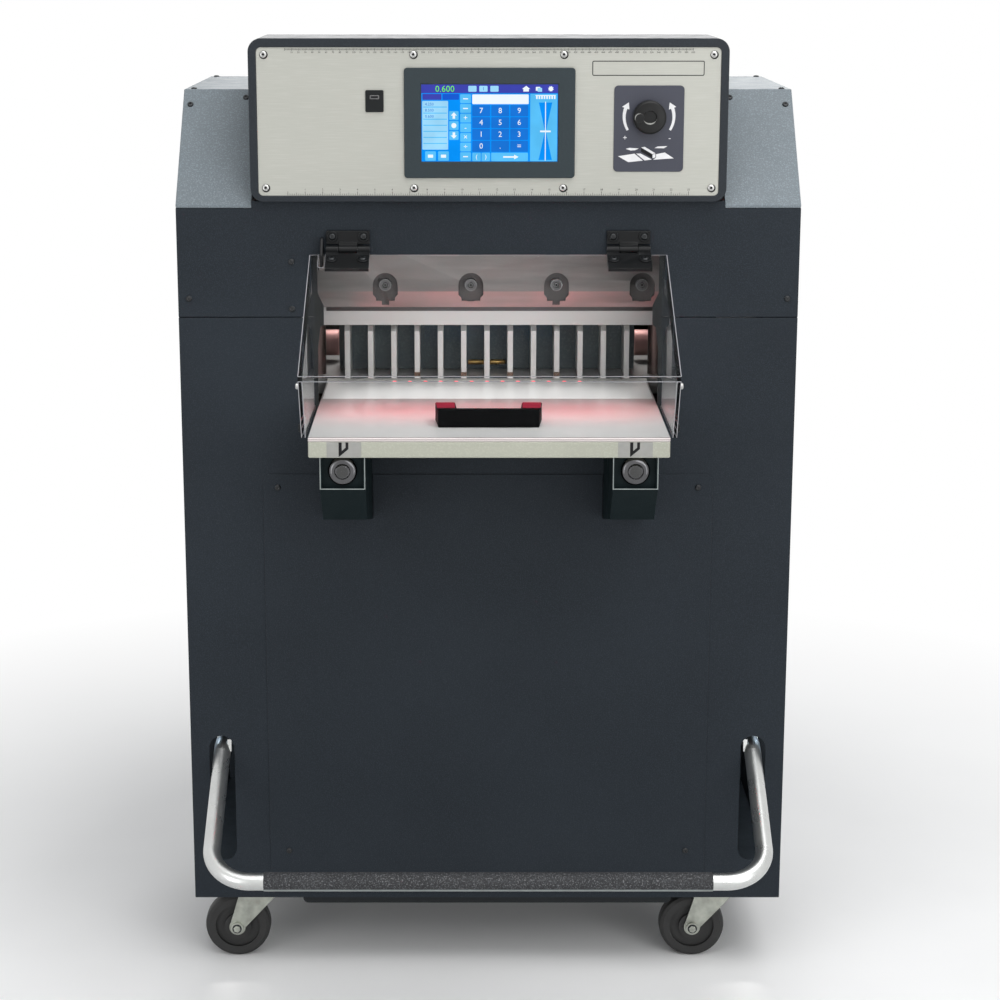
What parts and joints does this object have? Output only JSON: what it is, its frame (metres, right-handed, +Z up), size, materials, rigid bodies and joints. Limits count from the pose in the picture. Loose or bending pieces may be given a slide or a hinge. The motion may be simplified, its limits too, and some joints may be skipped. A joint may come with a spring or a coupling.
{
  "type": "paper cutter",
  "caption": "Floor-standing hydraulic guillotine paper cutter with a clear hinged guard, touch-screen console, back gauge, cut buttons, foot treadle and castors.",
  "frame": {"origin": "on the floor, under the middle of the machine's box", "axes": "+Z up, -Y to the front where the operator stands, +X to the operator's right"},
  "size_m": [0.904, 1.15, 1.428],
  "materials": {
    "cabinet_paint": "dark slate-grey powder coat, fine orange peel",
    "shoulder_paint": "blue-grey powder coat, satin",
    "black_plastic": "moulded black, matte",
    "black_paint": "black enamel, semi-matte",
    "cream_paint": "cream enamel, satin",
    "polished_steel": "polished, fine grain",
    "ground_steel": "surface-ground, warm grey",
    "bolt_steel": "oiled cap screws",
    "white_plastic": "white, satin",
    "silver_plate": "satin printed aluminium",
    "screen_glass": "lit touch screen",
    "knob_plate": "dark blue-grey print",
    "button_metal": "dark nickel",
    "clear_acrylic": "clear sheet with polished edges",
    "brass": "machined",
    "tube_zinc": "bright zinc-plated tube",
    "grip_tape": "gritty black tape",
    "castor_zinc": "zinc-plated pressing",
    "castor_tread": "dark grey rubber"
  },
  "bodies": {
    "root": {"front_panel": "cabinet_paint", "head_panel": "cabinet_paint", "access_panel": "cabinet_paint", "left_side_panel": "cabinet_paint", "right_side_panel": "cabinet_paint", "back_panel": "cabinet_paint", "shoulder_covers": "shoulder_paint", "top_cover": "shoulder_paint", "base_plate": "cabinet_paint", "drip_tray": "black_paint", "side_frames": "cabinet_paint", "head_beam": "cabinet_paint", "front_table": "cream_paint", "table_plate": "polished_steel", "rear_bed": "polished_steel", "cutting_stick": "white_plastic", "rear_cover": "cabinet_paint", "console_housing": "black_plastic", "console_faceplate": "silver_plate", "screen_bezel": "black_plastic", "screen_glass": "screen_glass", "port_plate": "black_plastic", "knob_plate": "knob_plate", "button_brackets": "cabinet_paint", "button_collars": "button_metal", "guide_rollers": "polished_steel", "hydraulic_cylinders": "black_paint", "power_pack": "black_paint", "gauge_motor": "black_paint", "screw_bearings": "cabinet_paint", "hinge_base_leaves": "black_plastic", "hinge_pins": "polished_steel", "cut_line_light": "black_plastic", "treadle_bearings": "cabinet_paint", "castor_mounts": "castor_zinc"},
    "guard": {"guard_shell": "clear_acrylic", "hinge_guard_leaves": "black_plastic"},
    "knife": {"knife_bar": "ground_steel", "knife_blade": "polished_steel", "knife_bolts": "bolt_steel", "knife_rod": "polished_steel"},
    "clamp": {"clamp_beam": "cream_paint", "clamp_rods": "polished_steel", "clamp_yoke": "cabinet_paint"},
    "gauge": {"gauge_carriage": "black_paint", "gauge_fingers": "white_plastic", "gauge_nut": "brass"},
    "screw": {"lead_screw": "polished_steel"},
    "knob": {"micro_knob": "black_plastic"},
    "left_button": {"left_button_cap": "button_metal"},
    "right_button": {"right_button_cap": "button_metal"},
    "treadle": {"treadle_frame": "tube_zinc", "treadle_grip": "grip_tape"},
    "left_castor": {"left_castor_fork": "castor_zinc"},
    "right_castor": {"right_castor_fork": "castor_zinc"},
    "left_front_roller": {"left_front_wheel": "castor_tread"},
    "right_front_roller": {"right_front_wheel": "castor_tread"},
    "left_rear_roller": {"left_rear_wheel": "castor_tread"},
    "right_rear_roller": {"right_rear_wheel": "castor_tread"},
    "loose_block": {"jogging_block": "black_plastic"}
  },
  "joints": [
    {"name": "guard_hinge", "type": "hinge", "parent": "root", "child": "guard", "pos_m": [0, -0.304, 1.128], "axis": [-1, 0, 0], "range_deg": [0, 85]},
    {"name": "knife_slide", "type": "slide", "parent": "root", "child": "knife", "axis": [-0.5, 0, -0.866], "range_m": [0, 0.1225]},
    {"name": "clamp_slide", "type": "slide", "parent": "root", "child": "clamp", "axis": [0, 0, -1], "range_m": [0, 0.0837], "stiffness_N_per_m": 5000, "springref_m": -0.3},
    {"name": "treadle_hinge", "type": "hinge", "parent": "root", "child": "treadle", "pos_m": [0, 0.186, 0.363], "axis": [1, 0, 0], "range_deg": [0, 14.75]},
    {"name": "gauge_slide", "type": "slide", "parent": "root", "child": "gauge", "axis": [0, 1, 0], "range_m": [0, 0.486]},
    {"name": "screw_spin", "type": "hinge", "parent": "root", "child": "screw", "pos_m": [0, 0.206, 0.837], "axis": [0, 1, 0], "continuous": true},
    {"name": "knob_spin", "type": "hinge", "parent": "root", "child": "knob", "pos_m": [0.229, -0.314, 1.318], "axis": [0, 1, 0], "continuous": true},
    {"name": "left_button_press", "type": "slide", "parent": "root", "child": "left_button", "axis": [0, 1, 0], "range_m": [0, 0.005], "stiffness_N_per_m": 800, "springref_m": -0.004},
    {"name": "right_button_press", "type": "slide", "parent": "root", "child": "right_button", "axis": [0, 1, 0], "range_m": [0, 0.005], "stiffness_N_per_m": 800, "springref_m": -0.004},
    {"name": "left_castor_swivel", "type": "hinge", "parent": "root", "child": "left_castor", "pos_m": [-0.358, -0.226, 0.11], "axis": [0, 0, 1], "continuous": true},
    {"name": "right_castor_swivel", "type": "hinge", "parent": "root", "child": "right_castor", "pos_m": [0.358, -0.226, 0.11], "axis": [0, 0, 1], "continuous": true},
    {"name": "left_front_wheel_spin", "type": "hinge", "parent": "left_castor", "child": "left_front_roller", "pos_m": [-0.393, -0.226, 0.051], "axis": [0, 1, 0], "continuous": true},
    {"name": "right_front_wheel_spin", "type": "hinge", "parent": "right_castor", "child": "right_front_roller", "pos_m": [0.323, -0.226, 0.051], "axis": [0, 1, 0], "continuous": true},
    {"name": "left_rear_wheel_spin", "type": "hinge", "parent": "root", "child": "left_rear_roller", "pos_m": [-0.358, 0.146, 0.051], "axis": [1, 0, 0], "continuous": true},
    {"name": "right_rear_wheel_spin", "type": "hinge", "parent": "root", "child": "right_rear_roller", "pos_m": [0.358, 0.146, 0.051], "axis": [1, 0, 0], "continuous": true},
    {"name": "block_slide", "type": "slide", "parent": "root", "child": "loose_block", "axis": [0, 1, 0], "range_m": [-0.06, 0.29]}
  ],
  "couplings": [
    {"joint": "treadle_hinge", "follows": "clamp_slide", "rad_per_m": 3.06},
    {"joint": "screw_spin", "follows": "gauge_slide", "rad_per_m": 628.32}
  ]
}
